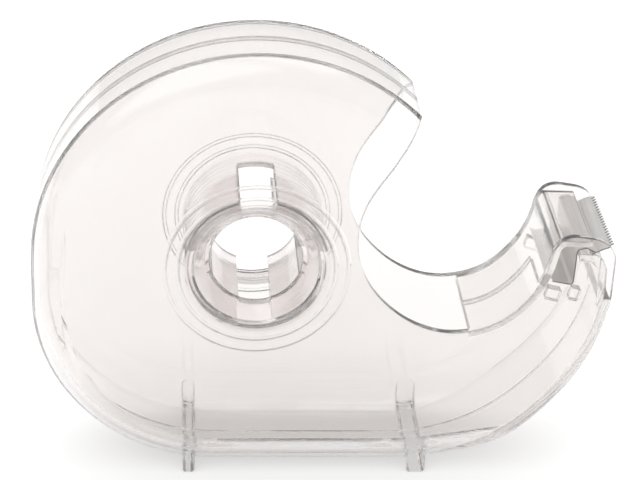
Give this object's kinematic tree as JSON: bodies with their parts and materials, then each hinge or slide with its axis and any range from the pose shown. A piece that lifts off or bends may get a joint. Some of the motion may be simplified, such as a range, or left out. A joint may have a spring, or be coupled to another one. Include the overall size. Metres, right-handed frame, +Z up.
{
  "type": "handheld tape dispenser",
  "caption": "Clear two-part handheld tape dispenser with a slotted hub, open finger gap, serrated steel cutter and two rib feet.",
  "frame": {"origin": "centre of the footprint, on the surface the two rib feet stand on", "axes": "+Z up, +X towards the cutter nose, Y along the hub axis with the front half on the -Y side"},
  "size_m": [0.1015, 0.022, 0.0808],
  "materials": {
    "clear_plastic": "clear polished moulded polystyrene, faint warm grey",
    "blade_steel": "bare rolled steel strip"
  },
  "bodies": {
    "rear_half": {"rear_half_shell": "clear_plastic", "cutter_blade": "blade_steel"},
    "front_half": {"front_half_shell": "clear_plastic"}
  },
  "joints": [
    {"name": "front_half_pull", "type": "slide", "parent": "rear_half", "child": "front_half", "axis": [0, -1, 0], "range_m": [0, 0.03]}
  ]
}
